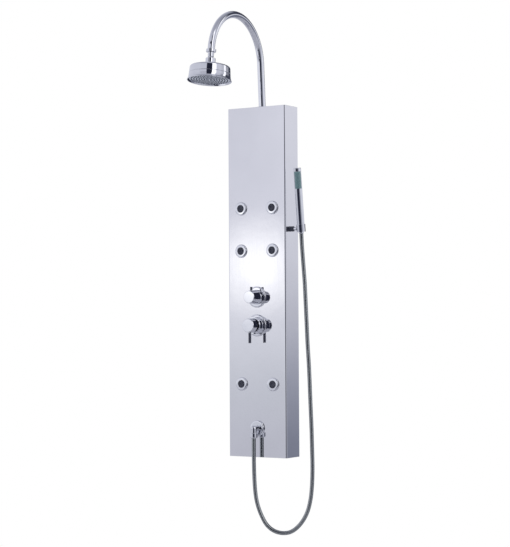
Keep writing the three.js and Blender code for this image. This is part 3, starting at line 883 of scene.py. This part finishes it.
def add_holder():
    turned("holder_boss", [(5.4, 0.3), (9, 0.3), (9, 4.5), (8, 5.2), (8, 6.8), (9, 7.5), (9, 10.5), (8, 11.2),
                           (8, 12.8), (9, 13.5), (9, 15), (8, 16), (5.4, 16)],
           holder_frame(), "panel", ["holder_stub"], NOZZLE, 48)
    bm = bmesh.new()
    revolve(bm, [(13.4, -11), (15.2, -11), (15.2, 15), (13.4, 15)], 64, closed=True, start=30, sweep=300)
    neck = bmesh.new()
    neck_start = HALF_WIDTH + 3 - HANDSET_X
    revolve(neck, [(0, neck_start), (5, neck_start), (5, -17), (6.5, -13.8), (0, -13.8)], 40)
    neck.transform(Matrix.Rotation(math.radians(90), 4, "Y"))
    cup = carve(object_from("cup", bm), [object_from("neck", neck)], "UNION")
    finish_mesh("holder_clip", cup, HANDSET, "holder_arm", ["holder_cup"], CHROME)


def add_handset():
    """The hand shower, its spray strip turned outward from the panel's front."""
    top = HANDSET_TOP
    outward = Matrix.Rotation(math.radians(WINDOW_TURN), 4, "Z")
    barrel = bmesh.new()
    revolve(barrel, [(9, -10), (12.2, -10), (HANDSET_RADIUS, -8.8), (HANDSET_RADIUS, top), (0, top),
                     (0, top - 4), (4.5, top - 4),
                     (4.5, 134), (11, 126), (11, 12), (9, 10)], 96, closed=True)
    bed = box_mesh("bed", (-WINDOW_HALF, -20, WINDOW_BOTTOM), (WINDOW_HALF, WINDOW_FLAT, top + 2))
    body = carve(object_from("barrel", barrel), [bed])
    finish_mesh("handset_tube", body, HANDSET @ outward, "hand_shower", ["handset_body"], CHROME)
    finish_mesh("handset_spray_strip", strip_mesh(), HANDSET @ outward, "hand_shower",
                ["handset_spray_window"], WINDOW)
    finish_mesh("handset_nibs", strip_nibs(), HANDSET @ outward, "hand_shower", [], NOZZLE)
    turned("handset_end_cap", [(0, 194), (13, 194), (13, 204.8), (12, 206), (0, 206)],
           HANDSET, "hand_shower", ["handset_cap"], CHROME, 96)
    turned("handset_ferrule", [(5, -16.6), (8, -16.6), (8.6, -15), (8.6, 8), (5, 8)],
           HANDSET, "hand_shower", ["hose_handset_ferrule"], CHROME, 48)


def strip_mesh():
    """The curved teal strip that closes the hand shower's front, a little smaller than its bed."""
    half = WINDOW_HALF - STRIP_GAP
    back = WINDOW_FLAT - STRIP_GAP
    reach = math.degrees(math.asin(half / HANDSET_RADIUS))
    outline = arc(0, 0, 12.98, -90 - reach, -90 + reach, 40) + [(half, back), (-half, back)]
    return carve(prism("strip", outline, WINDOW_BOTTOM + STRIP_GAP, HANDSET_TOP), [])


def strip_nibs():
    """Three rows of small nozzles on the strip."""
    bm = bmesh.new()
    for column, degrees in enumerate((-22, 0, 22)):
        outward = Matrix.Rotation(math.radians(degrees), 4, "Z") @ Matrix.Rotation(math.radians(90), 4, "X")
        for i in range(9):
            height = 141 + i * 5.8 + 2.9 * (column % 2)
            if height > HANDSET_TOP - 4:
                continue
            one = bmesh.new()
            nib(one, 0, 0, 0, 0.8, 0.5, 0.9, 8)
            one.transform(Matrix.Translation((0, 0, height)) @ outward @ Matrix.Translation((0, 0, 12.7))
                          @ Matrix.Rotation(math.pi, 4, "X"))
            mesh = bpy.data.meshes.new("nib")
            one.to_mesh(mesh)
            one.free()
            bm.from_mesh(mesh)
            bpy.data.meshes.remove(mesh)
    return bm


add_holder()
add_handset()

# ---------- CAD nodes that stay as they are, with better materials ----------
KEPT = {
    "wall_bracket": ZINC,
    "hanging_rail": ZINC,
    "wall_screw": ZINC,
    "arm_socket": BRASS,
    "valve_body": BRASS,
    "diverter_spindle": BRASS,
    "mixer_spindle": NOZZLE,
    "_inlet": BRASS,
    "pipe": COPPER,
    "ball_seat": SEAT,
}
for node_name, node in NODES.items():
    for key, kept_material in KEPT.items():
        if key in node_name:
            node.data.materials.clear()
            node.data.materials.append(kept_material)


# ---------- floor, world and lights ----------
# The floor's sizes are in metres.
FLOOR_RADIUS = 3.6
FLOOR_HEIGHT = -1.95
SHADE = (0.03, 0.033, 0.055)
DARK = (0.05, 0.055, 0.08)
DARKEST = (0.018, 0.020, 0.036)


def add_floor():
    bm = bmesh.new()
    bmesh.ops.create_circle(bm, cap_ends=True, segments=96, radius=FLOOR_RADIUS)
    mesh = bpy.data.meshes.new("floor")
    bm.to_mesh(mesh)
    bm.free()
    floor = bpy.data.objects.new("floor", mesh)
    floor.location = (0, 0, FLOOR_HEIGHT)
    mesh.materials.append(floor_paint())
    bpy.context.scene.collection.objects.link(floor)


class Studio:
    """A plain studio drawn round the object as a world shader: a soft sky and a few soft cards.
    Azimuth 0 looks from the panel's front (-Y), and +90 from its right (+X)."""

    def __init__(self):
        world = bpy.data.worlds.new("studio")
        bpy.context.scene.world = world
        world.use_nodes = True
        self.nodes = world.node_tree.nodes
        self.links = world.node_tree.links
        self.nodes.clear()
        direction = self.nodes.new("ShaderNodeTexCoord").outputs["Generated"]
        split = self.nodes.new("ShaderNodeSeparateXYZ")
        self.links.new(direction, split.inputs["Vector"])
        x, y, z = split.outputs
        minus_y = self.math("MULTIPLY", y, -1)
        self.azimuth = self.math("MULTIPLY", self.math("ARCTAN2", x, minus_y), 180 / math.pi)
        self.elevation = self.math("MULTIPLY", self.math("ARCSINE", z, 0), 180 / math.pi)

    def math(self, operation, first, second):
        node = self.nodes.new("ShaderNodeMath")
        node.operation = operation
        for socket, value in zip(node.inputs, (first, second)):
            if isinstance(value, (int, float)):
                socket.default_value = value
            else:
                self.links.new(value, socket)
        return node.outputs["Value"]

    def step(self, value, low, high, first=0.0, last=1.0):
        node = self.nodes.new("ShaderNodeMapRange")
        node.interpolation_type = "SMOOTHSTEP"
        node.inputs["From Min"].default_value = low
        node.inputs["From Max"].default_value = high
        node.inputs["To Min"].default_value = first
        node.inputs["To Max"].default_value = last
        self.links.new(value, node.inputs["Value"])
        return node.outputs["Result"]

    def sky(self, stops):
        """A colour for each elevation, from -90 to 90 degrees."""
        place_on = self.nodes.new("ShaderNodeMapRange")
        place_on.inputs["From Min"].default_value = -90
        place_on.inputs["From Max"].default_value = 90
        self.links.new(self.elevation, place_on.inputs["Value"])
        ramp = self.nodes.new("ShaderNodeValToRGB")
        elements = ramp.color_ramp.elements
        while len(elements) < len(stops):
            elements.new(0.5)
        for element, (degrees, colour) in zip(elements, stops):
            element.position = (degrees + 90) / 180
            element.color = (*colour, 1)
        self.links.new(place_on.outputs["Result"], ramp.inputs["Fac"])
        self.colour = ramp.outputs["Color"]

    def sector(self, azimuth, soft, stops):
        """Another sky, from this azimuth round to the back."""
        front = self.colour
        self.sky(stops)
        mask = self.step(self.azimuth, azimuth - soft, azimuth + soft)
        self.colour = self.mixed(mask, front, self.colour)

    def glow(self, colour, centre, reach):
        """A round patch of light that fades from its centre to nothing."""
        across = self.math("DIVIDE", self.math("SUBTRACT", self.azimuth, centre[0]), reach[0])
        along = self.math("DIVIDE", self.math("SUBTRACT", self.elevation, centre[1]), reach[1])
        squares = self.math("ADD", self.math("MULTIPLY", across, across), self.math("MULTIPLY", along, along))
        mask = self.step(self.math("POWER", squares, 0.5), 0.0, 1.0, 1.0, 0.0)
        self.colour = self.mixed(mask, self.colour, colour)

    def mixed(self, mask, under, over):
        mix = self.nodes.new("ShaderNodeMix")
        mix.data_type = "RGBA"
        self.links.new(mask, mix.inputs["Factor"])
        self.links.new(under, mix.inputs["A"])
        if isinstance(over, tuple):
            mix.inputs["B"].default_value = (*over, 1)
        else:
            self.links.new(over, mix.inputs["B"])
        return mix.outputs["Result"]

    def card(self, colour, azimuths, elevations, soft_azimuth, soft_elevation):
        """A card between two azimuths and two elevations, faded over a soft edge, laid over what is there."""
        low, high = azimuths
        inside = self.step(self.azimuth, low - soft_azimuth, low + soft_azimuth)
        beyond = self.step(self.azimuth, high - soft_azimuth, high + soft_azimuth, 1.0, 0.0)
        bottom, top = elevations
        above = self.step(self.elevation, bottom - soft_elevation, bottom + soft_elevation)
        below = self.step(self.elevation, top - soft_elevation, top + soft_elevation, 1.0, 0.0)
        across = self.math("MULTIPLY", inside, beyond)
        along = self.math("MULTIPLY", above, below)
        mask = self.math("MULTIPLY", across, along)
        self.colour = self.mixed(mask, self.colour, colour)

    def close(self):
        """Plain white to the camera, the studio to everything else."""
        seen = self.nodes.new("ShaderNodeBackground")
        seen.inputs["Color"].default_value = (1, 1, 1, 1)
        felt = self.nodes.new("ShaderNodeBackground")
        self.links.new(self.colour, felt.inputs["Color"])
        path = self.nodes.new("ShaderNodeLightPath")
        mix = self.nodes.new("ShaderNodeMixShader")
        self.links.new(path.outputs["Is Camera Ray"], mix.inputs["Fac"])
        self.links.new(felt.outputs["Background"], mix.inputs[1])
        self.links.new(seen.outputs["Background"], mix.inputs[2])
        output = self.nodes.new("ShaderNodeOutputWorld")
        self.links.new(mix.outputs["Shader"], output.inputs["Surface"])


def add_studio():
    studio = Studio()
    studio.sky([
        (-90, (0.62, 0.63, 0.68)), (-30, (0.50, 0.51, 0.57)), (-10, (0.50, 0.51, 0.58)),
        (-4.2, (0.57, 0.58, 0.65)), (-2.3, (0.62, 0.64, 0.70)), (-0.8, (0.73, 0.745, 0.81)),
        (2, (0.74, 0.75, 0.83)), (8, (0.70, 0.71, 0.79)), (20, (0.62, 0.63, 0.71)),
        (40, (0.56, 0.57, 0.65)), (60, (0.40, 0.41, 0.48)), (90, (0.34, 0.35, 0.42)),
    ])
    studio.sector(108, 14, [
        (-90, (0.55, 0.56, 0.60)), (-30, (0.20, 0.21, 0.26)), (-8, (0.13, 0.14, 0.19)),
        (-4.1, (0.23, 0.245, 0.31)), (-2, (0.36, 0.375, 0.45)), (0, (0.54, 0.55, 0.62)),
        (2, (0.69, 0.70, 0.77)), (8, (0.77, 0.78, 0.85)), (16, (0.55, 0.56, 0.63)),
        (35, (0.16, 0.17, 0.21)), (60, (0.30, 0.31, 0.37)), (90, (0.34, 0.35, 0.42)),
    ])
    studio.card((0.78, 0.79, 0.87), (-31.2, -6), (4, 12), 1.2, 1.5)
    studio.card((0.86, 0.87, 0.93), (-66, -30), (-30, -15), 6, 4)
    studio.card(SHADE, (-22, 6), (-50, -6), 3, 3)
    studio.card(SHADE, (-14, 6), (13, 24), 3, 3)
    studio.glow((1.36, 1.36, 1.38), (-31.5, 1.75), (2.3, 2.3))
    studio.card((0.28, 0.29, 0.34), (40, 76), (-40, 7), 5, 3)
    studio.card((1.5, 1.5, 1.55), (44, 72), (9, 55), 3, 4)
    studio.card((1.2, 1.2, 1.25), (122, 137), (14, 34), 2, 4)
    studio.card(DARK, (141, 160), (13, 42), 2, 3)
    studio.card(DARK, (160, 190), (6, 42), 4, 3)
    studio.card(DARK, (-190, -148), (6, 42), 4, 3)
    studio.card(DARKEST, (1, 49), (-50, 18), 2, 4)
    studio.card(DARKEST, (15, 49), (14, 50), 2, 4)
    studio.card(DARKEST, (-24, 17), (32.5, 37.5), 3, 1.5)
    studio.close()


add_floor()
add_studio()
bpy.context.scene.view_settings.view_transform = "Standard"
